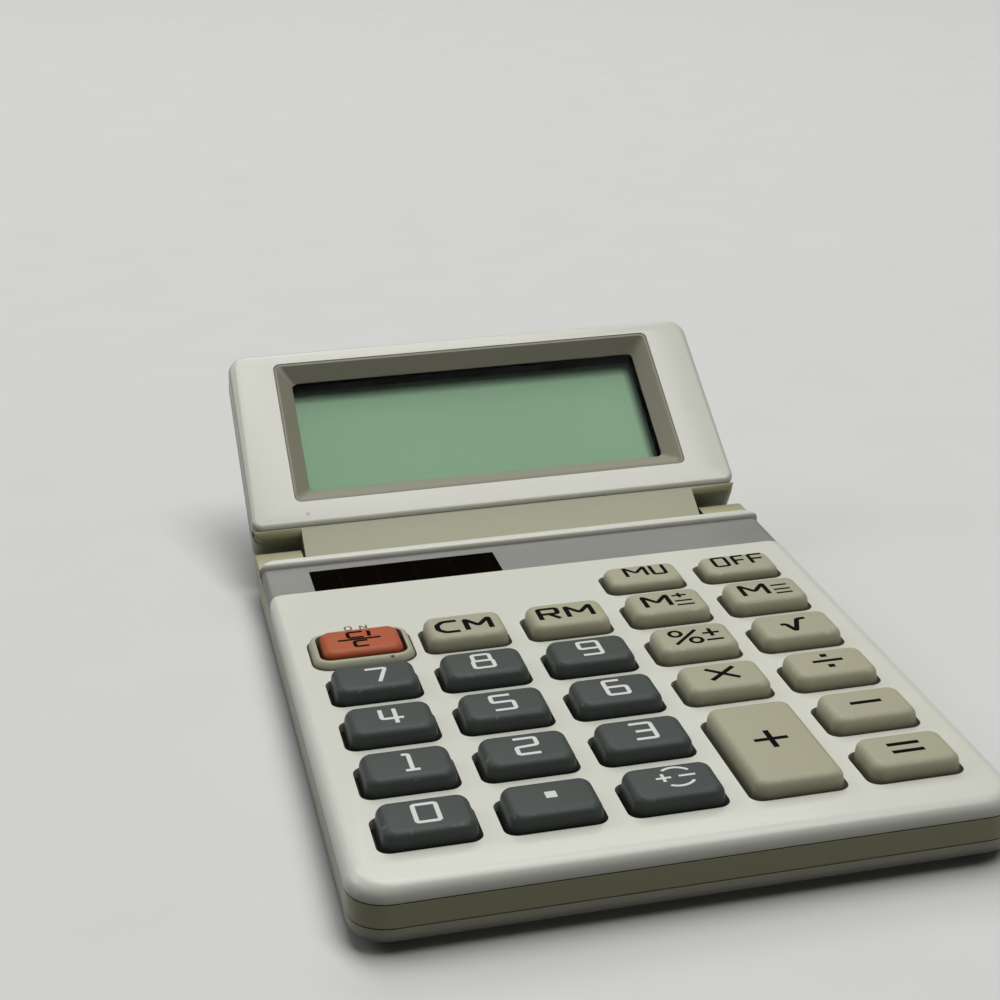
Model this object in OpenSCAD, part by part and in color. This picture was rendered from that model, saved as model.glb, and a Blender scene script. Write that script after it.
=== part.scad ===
// Desk calculator with a folding display, built as separate solids.
// Millimetres, +Z up. The origin is the centre of the base, on the floor.
// The front is -Y, the display hangs on a hinge at the +Y end.

/* [Base] */
// Width of the base and of the display
body_w = 98; // [95:1:104]
// Depth of the base, front face to the back of the hinge posts
body_d = 125.5; // [125.5:0.5:132]
// Plan radius of the front corners
corner_front = 6; // [4:0.5:8]
// Plan radius of the back corners of the top cover
corner_back = 3; // [2:0.5:5]
// Rounding of the top edge at the front
edge_front = 2.4; // [1.6:0.2:2.6]
// Rounding of the top edge at the back
edge_back = 1.2; // [0.8:0.2:2]
// Thickness of the top plate
plate_t = 1.6; // [1.4:0.1:1.8]
// Thickness of the side walls
wall_t = 1.6; // [1.4:0.1:1.8]
// Height of the feet under the base
foot_h = 1.6; // [0.8:0.1:2.2]
// Radius of one foot
foot_r = 3; // [2.5:0.25:3]
// Height of the bottom cover
bottom_h = 2.65; // [2.4:0.05:3.2]
// Height of the middle frame
frame_h = 4; // [3.8:0.1:5]
// Height of the top cover
cover_h = 2.65; // [2.65:0.05:3.2]
// Space left between parts that are fitted together
fit_gap = 0.1; // [0.05:0.05:0.15]

/* [Keys] */
// Side face to the first column of openings
side_margin = 5.57; // [5:0.01:6.5]
// Plate left between two columns of openings
key_web_x = 3.14; // [2.8:0.01:4]
// Plate left between two rows of openings
key_web_y = 4.8; // [4:0.1:5.5]
// Corner radius of a key opening
slot_r = 2; // [1.4:0.2:2.6]
// Front face to the first row of openings
front_margin = 8.3; // [8.3:0.1:9.5]
// Last row of openings to the metal strip
back_margin = 6.8; // [6.2:0.1:8]
// Space round a key in its opening
key_gap = 0.3; // [0.25:0.05:0.5]
// Height of a key above the top face
key_rise = 2.6; // [2.2:0.1:3.2]
// How much lower the keys of the last row stand
back_row_drop = 0.7; // [0:0.1:0.8]
// How much shorter the openings of the last row are
back_row_cut = 1.2; // [0:0.1:1.5]
// Height of the clear key above the top face
clear_rise = 2.2; // [1.8:0.1:2.6]
// Slope of a key's sides, foot to shoulder
key_draft = 0.3; // [0.1:0.05:0.6]
// Rounding of a key's top edge
key_round = 0.6; // [0.4:0.1:0.9]
// How far a key goes down
key_travel = 1.2; // [0.8:0.1:1.2]
// Width of the rim that holds a key under the plate
key_rim = 0.8; // [0.6:0.1:0.9]
// Thickness of that rim
key_rim_t = 0.8; // [0.6:0.1:0.9]
// Height of the guard round the clear key
guard_h = 1.2; // [1:0.1:1.8]
// Width of the guard on the top face
guard_w = 1.2; // [0.8:0.1:1.4]
// Wall of the guard where it goes through the plate
guard_wall = 0.6; // [0.4:0.05:0.7]

/* [Strip and solar cell] */
// Depth of the metal strip, front to back
strip_d = 12.7; // [11:0.1:13]
// Width of the lip behind the strip
lip_d = 2.6; // [2.4:0.1:4]
// How far the lip stands above the top face
lip_rise = 1; // [0.4:0.1:1.2]
// Rounding of the lip's front edge
lip_r = 0.9; // [0.6:0.1:1]
// How deep the channel of the strip is
channel_h = 0.8; // [0.6:0.1:0.9]
// Thickness of the strip
strip_t = 0.6; // [0.4:0.1:0.7]
// Plan radius where the key field meets the strip at the sides
field_r = 3; // [2:0.5:4]
// Width of the solar cell
solar_w = 34.9; // [25:0.5:40]
// Depth of the solar cell
solar_d = 9.1; // [6:0.1:9.2]
// Left side face to the solar cell
solar_side = 8.8; // [7:0.1:12]
// Front edge of the strip to the solar cell
solar_front = 0.45; // [0.3:0.05:2]

/* [Hinge] */
// Angle of the display as it stands in the rest pose
tilt = 34; // [0:1:60]
// Radius of the rounded back of the posts
knuckle_r = 3; // [3:0.1:3.2]
// Width of a hinge post
post_w = 8.8; // [8:0.2:10]
// Side gap between a post and the display's barrel
post_gap = 0.6; // [0.4:0.1:1]
// Base left free behind the top cover
post_d = 9.9; // [9.9:0.1:12]
// Radius of the hinge pins
pin_r = 1.5; // [1.3:0.1:1.6]
// Running clearance of a pin in the display
pin_gap = 0.05; // [0.03:0.01:0.08]
// Radius of the barrel
barrel_r = 3.6; // [3.2:0.1:3.8]
// How far the apron reaches forward of the hinge axis
apron_v = 4.6; // [4.2:0.1:4.6]
// Hinge axis to the near wall of the display's back shell
heel_v = 5.2; // [4.8:0.1:5.2]
// Rounding of that wall's upper edge
heel_r = 1.4; // [1:0.1:1.4]
// Plan radius of the display's corners beside the hinge
heel_corner = 2.2; // [2:0.1:3]

/* [Display] */
// Height of the display cover, hinge side to far side
disp_d = 44; // [43:0.5:48]
// Hinge axis to the near edge of the display cover
disp_v0 = 6.8; // [6.8:0.1:7.4]
// Thickness of the white display cover
disp_cover_t = 3; // [2.8:0.1:3.4]
// Thickness of the display's back shell
disp_back_t = 6; // [5.8:0.1:6]
// Plan radius of the display's corners
disp_corner = 4; // [3:0.5:6]
// Rounding of the display cover's edge
disp_edge = 1.6; // [1:0.2:2]
// Rounding of the display cover's near edge
near_edge = 1; // [0.6:0.1:1.4]
// Side of the cover to the window opening
win_side = 9.1; // [9:0.1:11]
// Near edge of the cover to the window opening
win_v = 5.5; // [5.2:0.1:6]
// Far edge of the cover to the window opening
win_far = 3.5; // [3.4:0.1:4.5]
// Plan radius of the window opening
win_r = 1.4; // [0.6:0.1:1.4]
// Width of the bezel's slope at the sides
bezel_side = 3.5; // [2.8:0.1:4.5]
// Width of the bezel's slope at the near and far end
bezel_end = 3.75; // [3:0.05:4.5]
// How deep the bezel slopes in
bezel_h = 2.5; // [2:0.1:2.6]
// Thickness of the clear window
pane_t = 0.9; // [0.7:0.1:0.9]

/* [Hidden] */
// Facets of a rounded outer corner
facets = 32;
// Facets of a key's corner
key_facets = 16;
// Levels and edges of the base
front_y = -body_d / 2;
back_y = body_d / 2;
cover_back = back_y - post_d;
bottom_z = foot_h;
frame_z = bottom_z + bottom_h;
cover_z = frame_z + frame_h;
top_z = cover_z + cover_h;
plate_z = top_z - plate_t;
floor_t = 1.2;
floor_z = bottom_z + floor_t;
frame_wall = 2;
// Locating lips of the covers, and the grooves along the seams
seat_t = 0.6;
seat_h = 0.7;
groove_h = 0.2;
groove_d = 0.5;
// Hinge and display
hinge_y = back_y - knuckle_r;
face_w = 4;
hinge_z = top_z - face_w;
seam_w = face_w - disp_cover_t;
back_w = seam_w - disp_back_t;
apron_w = 3.3;
sweep_r = norm([apron_v, apron_w]);
trough_y = hinge_y - sweep_r - 0.7;
post_x = body_w / 2 - post_w;
barrel_x = post_x - post_gap;
post_top = hinge_z + knuckle_r;
disp_v1 = disp_v0 + disp_d;
disp_plate = 1.4;
win_w = body_w - 2 * win_side;
win_d = disp_d - win_v - win_far;
view_w = win_w - 2 * bezel_side;
view_d = win_d - 2 * bezel_end;
win_v0 = disp_v0 + win_v;
win_vc = win_v0 + win_d / 2;
view_vc = win_vc + 0.3;
bezel_w = face_w - bezel_h - 0.1;
bezel_bottom = bezel_w - pane_t - fit_gap;
gasket_h = 2;
gasket_w = 1.5;
lcd_top = bezel_bottom - gasket_h;
lcd_t = 1.2;
zebra_t = 0.4;
disp_board_t = 0.5;
disp_board_w0 = lcd_top - lcd_t - zebra_t - disp_board_t;
disp_boss_x = body_w / 2 - wall_t - 2.9;
lead_in = 7.2;
disp_boss_v = [disp_v0 + 5.2, disp_v1 - 5.2];
// Strip channel
strip_y1 = cover_back - lip_d;
strip_y0 = strip_y1 - strip_d;
channel_z = top_z - channel_h;
solar_x = -body_w / 2 + solar_side + solar_w / 2;
solar_y = strip_y0 + solar_front + solar_d / 2;
// Openings of the keys fill the field between the margins
slot_w = (body_w - 2 * side_margin - 4 * key_web_x) / 5;
slot_d = (strip_y0 - back_margin - front_y - front_margin - 5 * key_web_y) / 6;
col_pitch = slot_w + key_web_x;
row_pitch = slot_d + key_web_y;
// Keys: layers from the plate down
rim_z1 = plate_z - fit_gap;
rim_z0 = rim_z1 - key_rim_t;
dome_z = rim_z0;
mat_t = 0.7;
mat_z1 = rim_z0 - key_travel - 0.2;
mat_z0 = mat_z1 - mat_t;
board_t = 1.2;
board_z0 = mat_z0 - board_t;
// Screw places
boss_r = 2.2;
post_r = 3.3;
boss_x = body_w / 2 - 7;
boss_y = [front_y + frame_wall + fit_gap + seat_t + boss_r + 0.2, solar_y];
// Board behind the keys, its tabs under the leads of the solar cell
board_y0 = boss_y[0] + boss_r + 0.3;
board_y1 = strip_y0 - back_margin + 1.5;
board_w = body_w - 8;
tab_w = 3.4;
tab_y1 = solar_y + 1.7;
lead_r = 0.45;
lead_x = solar_w / 2 - 2.5;
dome_r0 = 3.4;
dome_r1 = 2.2;
dome_in = 1.8;
chip_w = 12;
chip_t = 1.5;
// Button cell, right of the middle behind the board
cell_r = 5.8;
cell_h = 2.5;
cap_r = 4.6;
cap_h = 0.4;
cell_x = body_w / 2 - 29;
cell_y = board_y1 + 3 + cell_r;
clip_w = 4;
clip_t = 0.25;
clip_y0 = board_y1 - 6;
stud_x = 1.5 * col_pitch;
stud_y = [front_y + front_margin + slot_d + key_web_y / 2,
          front_y + front_margin + slot_d + key_web_y / 2 + 4 * row_pitch];
stud_r = 2.4;
// Feet: places in from the side, from the front and from the back
foot_side = 11;
foot_front = 12;
foot_back = 6.5;
feet = [[body_w / 2 - foot_side, front_y + foot_front], [body_w / 2 - post_w / 2, back_y - foot_back]];
// Column and row of each full-size key; the tall key, the clear key and the last row have their own places
key_spots = [[0, 0], [1, 0], [2, 0], [4, 0], [0, 1], [1, 1], [2, 1], [4, 1],
             [0, 2], [1, 2], [2, 2], [3, 2], [4, 2],
             [0, 3], [1, 3], [2, 3], [3, 3], [4, 3],
             [1, 4], [2, 4], [3, 4], [4, 4]];
back_spots = [3, 4];

function key_x(c) = (c - 2) * col_pitch;
function key_y(r) = front_y + front_margin + slot_d / 2 + r * row_pitch;
function back_y0() = key_y(5) - back_row_cut / 2;

// Flat outlines
module round_rect(w, d, r) {
  square([w - 2 * r, d], center = true);
  square([w, d - 2 * r], center = true);
  for (sx = [-1, 1], sy = [-1, 1])
    translate([sx * (w / 2 - r), sy * (d / 2 - r)]) circle(r, $fn = 40);
}

// A key opening grown by g on all sides
module guard_outline(g) {
  round_rect(slot_w + 2 * g, slot_d + 2 * g, slot_r + g);
}

module plan(w, y0, y1, rf, rb) {
  polygon([[-w / 2, y0 + rf], [-w / 2 + rf, y0], [w / 2 - rf, y0], [w / 2, y0 + rf],
           [w / 2, y1 - rb], [w / 2 - rb, y1], [-w / 2 + rb, y1], [-w / 2, y1 - rb]]);
  for (s = [-1, 1]) {
    translate([s * (w / 2 - rf), y0 + rf]) circle(rf, $fn = 48);
    translate([s * (w / 2 - rb), y1 - rb]) circle(rb, $fn = 48);
  }
}

// One corner of a soft slab: a post that rounds in at its top
module soft_corner(h, corner, edge) {
  cylinder(r = corner, h = h - edge, $fn = facets);
  for (a = [15 : 15 : 90])
    translate([0, 0, h - edge * (1 - sin(a)) - 0.01])
      cylinder(r = corner - edge * (1 - cos(a)), h = 0.01, $fn = facets);
}

// A slab with rounded corners and a rounded top edge, z = 0 to h
module soft_slab(w, y0, y1, h, cf, ef, cb, eb) {
  hull()
    for (s = [-1, 1]) {
      translate([s * (w / 2 - cf), y0 + cf, 0]) soft_corner(h, cf, ef);
      translate([s * (w / 2 - cb), y1 - cb, 0]) soft_corner(h, cb, eb);
    }
}

// The display is drawn flat about its hinge axis, then tilted
module on_hinge() {
  translate([0, hinge_y, hinge_z]) rotate([tilt, 0, 0]) children();
}

module block(x0, x1, y0, y1, z0, z1) {
  translate([x0, y0, z0]) cube([x1 - x0, y1 - y0, z1 - z0]);
}

module along_x(x0, x1, r) {
  translate([x0, 0, 0]) rotate([0, 90, 0]) cylinder(r = r, h = x1 - x0, $fn = 40);
}

// A pan-head screw that points up, its seat at z = 0
module screw(head_r, head_h, shank_r, len) {
  difference() {
    union() {
      translate([0, 0, -head_h]) cylinder(r = head_r, h = head_h, $fn = 40);
      cylinder(r = shank_r, h = len, $fn = 32);
    }
    for (a = [0, 90])
      rotate([0, 0, a]) translate([-head_r * 0.6, -0.25, -head_h - 1]) cube([head_r * 1.2, 0.5, 1.4]);
  }
}

// Places shared by parts that meet
module at_bosses() {
  for (s = [-1, 1], y = boss_y) translate([s * boss_x, y, 0]) children();
}

module at_studs() {
  for (s = [-1, 1], y = stud_y) translate([s * stud_x, y, 0]) children();
}

module at_feet() {
  for (s = [-1, 1], f = feet) translate([s * f[0], f[1], 0]) children();
}

module at_display_bosses() {
  for (s = [-1, 1], v = disp_boss_v) translate([s * disp_boss_x, v, 0]) children();
}

module at_keys() {
  for (p = key_spots) translate([key_x(p[0]), key_y(p[1]), 0]) children();
  translate([key_x(3), key_y(0.5), 0]) children();
  translate([key_x(0), key_y(4), 0]) children();
  for (c = back_spots) translate([key_x(c), back_y0(), 0]) children();
}

module solar_at() {
  translate([solar_x, solar_y, 0]) children();
}

module solar_lead_at() {
  for (s = [-1, 1]) translate([s * lead_x, 0, 0]) children();
}

// Base
// Outer form of the top cover, moved inward by i
module cover_form(i, rise = 0) {
  translate([0, 0, cover_z])
    soft_slab(body_w - 2 * i, front_y + i, cover_back - i, cover_h + rise - i, corner_front - i,
              edge_front - i, corner_back - i, edge_back - i);
}

// Ring on which a cover is located inside the frame
module seat_ring(h) {
  i = frame_wall + fit_gap;
  linear_extrude(h)
    difference() {
      plan(body_w - 2 * i, front_y + i, cover_back - i, corner_front - frame_wall, 0.5);
      plan(body_w - 2 * i - 2 * seat_t, front_y + i + seat_t, cover_back - i - seat_t,
           corner_front - frame_wall - seat_t, 0.3);
    }
}

// Band of the strip, from side to side, behind the rounded corners of the key field
module strip_band(gap) {
  difference() {
    block(-body_w, body_w, strip_y0 - field_r, strip_y1 - gap, frame_z, top_z + 1);
    translate([0, 0, frame_z - 1])
      linear_extrude(top_z) plan(body_w, front_y, strip_y0 + gap, corner_front, field_r);
  }
}

// Side view of the lip, with its front edge rounded
module lip_side() {
  z1 = top_z + lip_rise;
  hull() {
    translate([strip_y1, plate_z]) square([lip_d + 1, z1 - lip_r - plate_z]);
    translate([strip_y1 + lip_r, z1 - lip_r]) circle(lip_r, $fn = 40);
    translate([cover_back, plate_z]) square([1, z1 - plate_z]);
  }
}

module top_cover() color("#d8d6c8") {
  difference() {
    union() {
      difference() {
        cover_form(0);
        translate([0, 0, cover_z - 1])
          linear_extrude(plate_z - cover_z + 1)
            plan(body_w - 2 * wall_t, front_y + wall_t, cover_back - wall_t,
                 corner_front - wall_t, corner_back - wall_t);
      }
      // Raised lip behind the strip
      intersection() {
        cover_form(0, lip_rise);
        translate([-body_w, 0, 0]) rotate([90, 0, 90]) linear_extrude(2 * body_w) lip_side();
      }
      translate([0, 0, cover_z - seat_h]) seat_ring(plate_z - cover_z + seat_h + 0.2);
      // Screw bosses
      at_bosses() translate([0, 0, frame_z + fit_gap])
        cylinder(r = boss_r, h = plate_z - frame_z - fit_gap + 0.2, $fn = 40);
    }
    // Key openings
    for (p = key_spots)
      translate([key_x(p[0]), key_y(p[1]), plate_z - 1])
        linear_extrude(plate_t + 2) round_rect(slot_w, slot_d, slot_r);
    translate([key_x(3), key_y(0.5), plate_z - 1])
      linear_extrude(plate_t + 2) round_rect(slot_w, slot_d + row_pitch, slot_r);
    translate([key_x(0), key_y(4), plate_z - 1])
      linear_extrude(plate_t + 2) guard_outline(guard_wall + fit_gap);
    for (c = back_spots)
      translate([key_x(c), back_y0(), plate_z - 1])
        linear_extrude(plate_t + 2) round_rect(slot_w, slot_d - back_row_cut, slot_r);
    // Channel of the strip, and holes for the leads of the solar cell
    difference() {
      strip_band(0);
      cover_form(channel_h);
    }
    solar_at() solar_lead_at()
      translate([0, 0, plate_z - 1]) cylinder(r = 0.7, h = plate_t + 2, $fn = 24);
    // Pilot holes of the screws
    at_bosses() translate([0, 0, frame_z - 1]) cylinder(r = 0.9, h = plate_z - frame_z + 0.6, $fn = 24);
  }
}

// Side view of a hinge post: back, rounded about the axis
module post_side() {
  intersection() {
    union() {
      translate([cover_back + fit_gap, frame_z])
        square([hinge_y - cover_back - fit_gap, post_top - frame_z]);
      translate([hinge_y - 1, frame_z]) square([knuckle_r + 1, hinge_z - frame_z]);
      translate([hinge_y, hinge_z]) circle(knuckle_r, $fn = 64);
    }
    translate([cover_back, frame_z]) square([post_d, post_top - frame_z + 1]);
  }
}

module case_frame() color("#a3a189") {
  difference() {
    union() {
      // The band, with a groove along each seam
      translate([0, 0, frame_z + groove_h])
        linear_extrude(frame_h - 2 * groove_h) plan(body_w, front_y, trough_y, corner_front, 0.3);
      translate([0, 0, frame_z])
        linear_extrude(frame_h)
          plan(body_w - 2 * groove_d, front_y + groove_d, trough_y, corner_front - groove_d, 0.3);
      for (x = [-body_w / 2, post_x])
        translate([x, 0, 0]) rotate([90, 0, 90]) linear_extrude(post_w) post_side();
    }
    translate([0, 0, frame_z - 1])
      linear_extrude(frame_h + 2)
        plan(body_w - 2 * frame_wall, front_y + frame_wall, cover_back - frame_wall,
             corner_front - frame_wall, 0.5);
    // Seats of the hinge pin and of the hinge tube
    translate([0, hinge_y, hinge_z]) {
      along_x(post_x - 1, body_w / 2 - 2, pin_r);
      along_x(-body_w / 2 + 2, -post_x + 1, pin_r);
    }
    // Way of the display lead through the left post into the case
    translate([-body_w / 2 + 4, hinge_y + 0.8, hinge_z])
      rotate([90, 0, 0]) cylinder(r = 0.8, h = hinge_y - cover_back + 5, $fn = 24);
  }
}

module bottom_cover() color("#8f8d7a") {
  difference() {
    union() {
      difference() {
        translate([0, 0, frame_z]) mirror([0, 0, 1])
          soft_slab(body_w, front_y, back_y, bottom_h, corner_front, 1.8, 2, 1.2);
        translate([0, 0, floor_z])
          linear_extrude(bottom_h)
            plan(body_w - 2 * wall_t, front_y + wall_t, trough_y - 3, corner_front - wall_t, 1);
      }
      translate([0, 0, floor_z - 0.2]) seat_ring(frame_z - floor_z + seat_h + 0.2);
      // Screw posts and board studs
      at_bosses() translate([0, 0, floor_z - 0.2])
        cylinder(r = post_r, h = frame_z - floor_z + 0.2, $fn = 40);
      at_studs() translate([0, 0, floor_z - 0.2])
        cylinder(r = stud_r, h = board_z0 - floor_z + 0.2, $fn = 40);
    }
    // Trough between the hinge posts
    block(-post_x, post_x, trough_y, back_y + 1, 0, frame_z + 1);
    // Case screws, board screws and feet
    at_bosses() {
      translate([0, 0, bottom_z - 1]) cylinder(r = 2.3, h = 2, $fn = 40);
      translate([0, 0, bottom_z]) cylinder(r = 1.1, h = bottom_h + 1, $fn = 32);
    }
    at_studs() translate([0, 0, floor_z + 0.3]) cylinder(r = 0.8, h = board_z0, $fn = 24);
    at_feet() translate([0, 0, bottom_z - 1]) cylinder(r = foot_r + fit_gap, h = 1.4, $fn = 48);
  }
}

module info_strip() color("#88898a") {
  difference() {
    intersection() {
      cover_form(channel_h - strip_t);
      strip_band(fit_gap);
    }
    cover_form(channel_h);
    solar_at() translate([0, 0, channel_z - 1])
      linear_extrude(3) square([solar_w + 2 * fit_gap, solar_d + 2 * fit_gap], center = true);
  }
}

module solar_cell() color("#17120f") {
  solar_at() translate([-solar_w / 2, -solar_d / 2, channel_z]) cube([solar_w, solar_d, strip_t + 0.1]);
}

module solar_leads() color("#a33b2c") {
  solar_at() solar_lead_at()
    translate([0, 0, board_z0 - 0.5]) cylinder(r = lead_r, h = channel_z - board_z0 + 0.5, $fn = 24);
}

module clear_key_guard() color("#b9b49b") {
  ow = slot_w + 2 * guard_w;
  od = slot_d + 2 * guard_w;
  translate([key_x(0), key_y(4), 0])
    difference() {
      union() {
        translate([0, 0, top_z])
          hull()
            for (sx = [-1, 1], sy = [-1, 1])
              translate([sx * (ow / 2 - 3), sy * (od / 2 - 3), 0]) {
                cylinder(r = 3, h = 0.01, $fn = facets);
                translate([0, 0, guard_h - 0.6]) cylinder(r = 2.8, h = 0.01, $fn = facets);
                translate([0, 0, guard_h - 0.2]) cylinder(r = 2.6, h = 0.01, $fn = facets);
                translate([0, 0, guard_h - 0.01]) cylinder(r = 2.2, h = 0.01, $fn = facets);
              }
        translate([0, 0, plate_z]) linear_extrude(plate_t + 0.2) guard_outline(guard_wall);
      }
      translate([0, 0, plate_z - 1]) linear_extrude(plate_t + guard_h + 2) guard_outline(0);
    }
}

module key_mat() color("#6f7478") {
  difference() {
    union() {
      translate([-board_w / 2, board_y0, mat_z0]) cube([board_w, board_y1 - board_y0, mat_t]);
      at_keys() translate([0, 0, mat_z1 - 0.1])
        cylinder(r1 = dome_r0, r2 = dome_r1, h = dome_z - mat_z1 + 0.1, $fn = 40);
    }
    at_keys() translate([0, 0, mat_z0 - 1])
      cylinder(r = dome_in, h = dome_z - mat_z0 + 1 - 0.6, $fn = 32);
    at_studs() translate([0, 0, mat_z0 - 1]) cylinder(r = 2.1, h = mat_t + 2, $fn = 32);
  }
}

module main_board() color("#3c6b45") {
  difference() {
    union() {
      translate([-board_w / 2, board_y0, board_z0]) cube([board_w, board_y1 - board_y0, board_t]);
      for (s = [-1, 1])
        translate([solar_x + s * lead_x - tab_w / 2, board_y1 - 1, board_z0])
          cube([tab_w, tab_y1 - board_y1 + 1, board_t]);
    }
    at_studs() translate([0, 0, board_z0 - 1]) cylinder(r = 1, h = board_t + 2, $fn = 24);
    solar_at() solar_lead_at()
      translate([0, 0, board_z0 - 1]) cylinder(r = lead_r + fit_gap, h = board_t + 2, $fn = 24);
  }
}

module controller_chip() color("#1c1d1f") {
  translate([-chip_w / 2, key_y(3), board_z0 - chip_t]) cube([chip_w, chip_w, chip_t]);
}

module button_cell() color("#b9bcc0") {
  translate([cell_x, cell_y, floor_z + clip_t]) {
    cylinder(r = cell_r, h = cell_h + 0.1, $fn = 64);
    translate([0, 0, cell_h]) cylinder(r = cap_r, h = cap_h, $fn = 64);
  }
}

module cell_clip() color("#9a9a92") {
  translate([cell_x - clip_w / 2, clip_y0, floor_z]) {
    cube([clip_w, cell_y - clip_y0, clip_t]);
    cube([clip_w, clip_t, board_z0 - floor_z]);
  }
}

module case_screws() color("#8d9196") {
  at_bosses() translate([0, 0, bottom_z + 1]) screw(2.1, 0.8, 0.85, plate_z - bottom_z - 2.2);
}

module board_screws() color("#a8a48f") {
  at_studs() translate([0, 0, board_z0 + board_t]) mirror([0, 0, 1])
    screw(1.6, 0.75, 0.75, board_z0 + board_t - floor_z - 0.6);
}

module rubber_feet() color("#2b2b2b") {
  at_feet() cylinder(r = foot_r, h = foot_h + 0.4, $fn = 48);
}

// Hinge
module hinge_pin() color("#b4b7ba") {
  translate([0, hinge_y, hinge_z]) along_x(barrel_x - 4, body_w / 2 - 2, pin_r);
}

module hinge_tube() color("#b4b7ba") {
  translate([0, hinge_y, hinge_z])
    difference() {
      along_x(-post_x - 3, -barrel_x + 4, pin_r);
      along_x(-post_x - 4, -barrel_x + 5, 0.8);
    }
}

module display_lead() color("#d8c24a") {
  translate([0, hinge_y, hinge_z]) {
    along_x(-body_w / 2 + 3.4, -barrel_x + 7, 0.55);
    translate([-body_w / 2 + 4, 0, 0]) rotate([90, 0, 0])
      cylinder(r = 0.55, h = hinge_y - cover_back + 3.5, $fn = 24);
  }
}

// Display, drawn flat about the hinge axis
module display_cover() color("#d8d6c8") {
  on_hinge()
    difference() {
      union() {
        difference() {
          translate([0, 0, seam_w])
            soft_slab(body_w, disp_v0, disp_v1, disp_cover_t, heel_corner, near_edge, disp_corner, disp_edge);
          translate([0, 0, seam_w - 1])
            linear_extrude(disp_cover_t - disp_plate + 1)
              plan(body_w - 2 * wall_t, disp_v0 + wall_t, disp_v1 - wall_t,
                   disp_corner - wall_t, disp_corner - wall_t);
        }
        at_display_bosses() translate([0, 0, back_w + 1.9])
          cylinder(r = 2, h = face_w - disp_plate - back_w - 1.7, $fn = 40);
      }
      translate([0, win_vc, 0]) linear_extrude(face_w + 1) round_rect(win_w, win_d, win_r);
      at_display_bosses() translate([0, 0, back_w]) cylinder(r = 0.75, h = -back_w + 2, $fn = 24);
    }
}

// Side view of the apron and barrel
module apron_side() {
  polygon([[-apron_v, apron_w], [disp_v0 - fit_gap, apron_w], [disp_v0 - fit_gap, seam_w - 0.3],
           [heel_v + 1, -3.4], [2, -3], [-3, 1], [-apron_v, 2.1]]);
  intersection() {
    circle(barrel_r, $fn = 64);
    translate([-barrel_r - 1, -barrel_r - 1]) square([2 * barrel_r + 2, barrel_r + 1 + apron_w]);
  }
}

// Side view of the shoulder beside the apron
module heel_side() {
  translate([heel_v, seam_w - 0.5]) square([disp_v0 - fit_gap - heel_v, apron_w - heel_r - seam_w + 0.5]);
  translate([heel_v + heel_r, seam_w - 0.5])
    square([disp_v0 - fit_gap - heel_v - heel_r, apron_w - seam_w + 0.5]);
  intersection() {
    translate([heel_v + heel_r, apron_w - heel_r]) circle(heel_r, $fn = 48);
    translate([heel_v - 1, apron_w - 2 * heel_r]) square([disp_v0 - fit_gap - heel_v + 1, 2 * heel_r]);
  }
}

module display_back() color("#a3a189") {
  on_hinge()
    difference() {
      union() {
        difference() {
          translate([0, 0, seam_w]) mirror([0, 0, 1])
            soft_slab(body_w, heel_v, disp_v1, disp_back_t, heel_corner, 1.6, disp_corner, 2.2);
          translate([0, 0, back_w + 1.2])
            linear_extrude(disp_back_t)
              plan(body_w - 2 * wall_t, disp_v0 + wall_t, disp_v1 - wall_t,
                   disp_corner - wall_t, disp_corner - wall_t);
        }
        translate([-barrel_x, 0, 0]) rotate([90, 0, 90]) linear_extrude(2 * barrel_x) apron_side();
        intersection() {
          translate([-body_w / 2, 0, 0]) rotate([90, 0, 90]) linear_extrude(body_w) heel_side();
          translate([0, 0, -1]) linear_extrude(face_w + 1)
            plan(body_w - 0.4, heel_v, disp_v1, heel_corner, disp_corner);
        }
        at_display_bosses() translate([0, 0, back_w + 1])
          cylinder(r = 2.4, h = 0.8, $fn = 40);
      }
      // Bearings, and the way of the lead into the display
      along_x(barrel_x - 4.3, barrel_x + 1, pin_r + pin_gap);
      along_x(-barrel_x - 1, -barrel_x + 8, pin_r + pin_gap);
      translate([-barrel_x + lead_in, 0, 0]) rotate([-90, 0, 0]) cylinder(r = 0.8, h = disp_v0 + 3, $fn = 24);
      // Screws
      at_display_bosses() {
        translate([0, 0, back_w - 1]) cylinder(r = 1.8, h = 2, $fn = 32);
        translate([0, 0, back_w]) cylinder(r = 1, h = 3, $fn = 24);
      }
    }
}

// A frame whose opening slopes in on all four sides
module window_bezel() color("#86816f") {
  o = fit_gap;
  on_hinge()
    difference() {
      union() {
        translate([0, win_vc, bezel_bottom]) linear_extrude(face_w - 0.1 - bezel_bottom)
          round_rect(win_w - 2 * o, win_d - 2 * o, win_r);
        translate([0, win_vc, bezel_bottom]) linear_extrude(face_w - disp_plate - o - bezel_bottom)
          square([win_w + 2.4, win_d + 2.4], center = true);
      }
      intersection() {
        translate([0, disp_v1 + 1, 0]) rotate([90, 0, 0]) linear_extrude(disp_d + 2)
          polygon([[-view_w / 2, bezel_w], [view_w / 2, bezel_w],
                   [win_w / 2 - 0.5, face_w], [-win_w / 2 + 0.5, face_w]]);
        translate([-body_w / 2, 0, 0]) rotate([90, 0, 90]) linear_extrude(body_w)
          polygon([[view_vc - view_d / 2, bezel_w], [view_vc + view_d / 2, bezel_w],
                   [win_v0 + win_d - 0.5, face_w], [win_v0 + 0.5, face_w]]);
      }
      translate([-view_w / 2, view_vc - view_d / 2, bezel_bottom - 1]) cube([view_w, view_d, 4]);
      translate([0, view_vc, bezel_bottom - 1])
        linear_extrude(pane_t + fit_gap + 1) square([view_w + 3, view_d + 3], center = true);
    }
}

module display_window() color("#cfd6cf") {
  on_hinge()
    translate([0, view_vc, bezel_bottom])
      linear_extrude(pane_t) square([view_w + 2.8, view_d + 2.8], center = true);
}

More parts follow.
